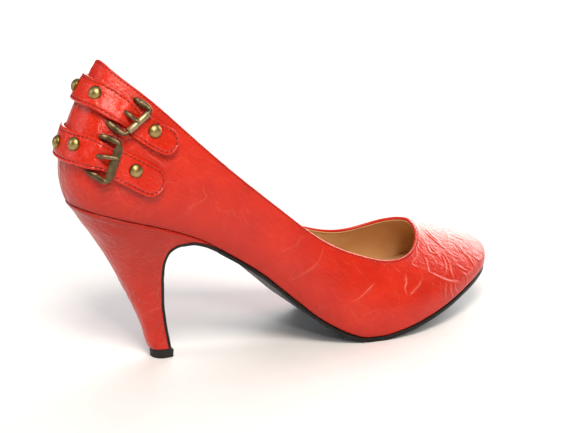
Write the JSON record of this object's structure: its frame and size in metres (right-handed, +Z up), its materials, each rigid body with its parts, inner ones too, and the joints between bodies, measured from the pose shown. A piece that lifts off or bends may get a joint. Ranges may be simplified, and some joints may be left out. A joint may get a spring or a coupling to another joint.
{
  "type": "high-heeled pump",
  "caption": "Right closed-toe pump in glossy crinkled leather with a slim curved high heel, thin black sole and buckled, studded straps crossing the heel counter.",
  "frame": {"origin": "centre of the heel lift's lower face, on the surface that the shoe stands on", "axes": "+X from the heel to the toe, +Y to the wearer's left, which is the inner side of this right shoe, +Z up"},
  "size_m": [0.2223, 0.0733, 0.1426],
  "materials": {
    "upper": "glossy crinkled patent",
    "heel_cover": "glossy crinkled patent",
    "strap": "glossy crinkled patent",
    "insole": "smooth, satin",
    "outsole": "black, satin",
    "heel_lift": "black, matt",
    "buckle": "antique bronze",
    "stud": "antique brass"
  },
  "bodies": {
    "root": {"upper": "upper", "heel": "heel_cover", "upper_strap": "strap", "lower_strap": "strap", "insole": "insole", "outsole": "outsole", "heel_lift": "heel_lift", "upper_buckle_frame": "buckle", "upper_buckle_prong": "buckle", "upper_buckle_roller": "buckle", "lower_buckle_frame": "buckle", "lower_buckle_prong": "buckle", "lower_buckle_roller": "buckle", "upper_stud_1": "stud", "upper_stud_2": "stud", "upper_stud_3": "stud", "upper_stud_4": "stud", "lower_stud_1": "stud", "lower_stud_2": "stud", "lower_stud_3": "stud", "lower_stud_4": "stud"}
  },
  "joints": []
}
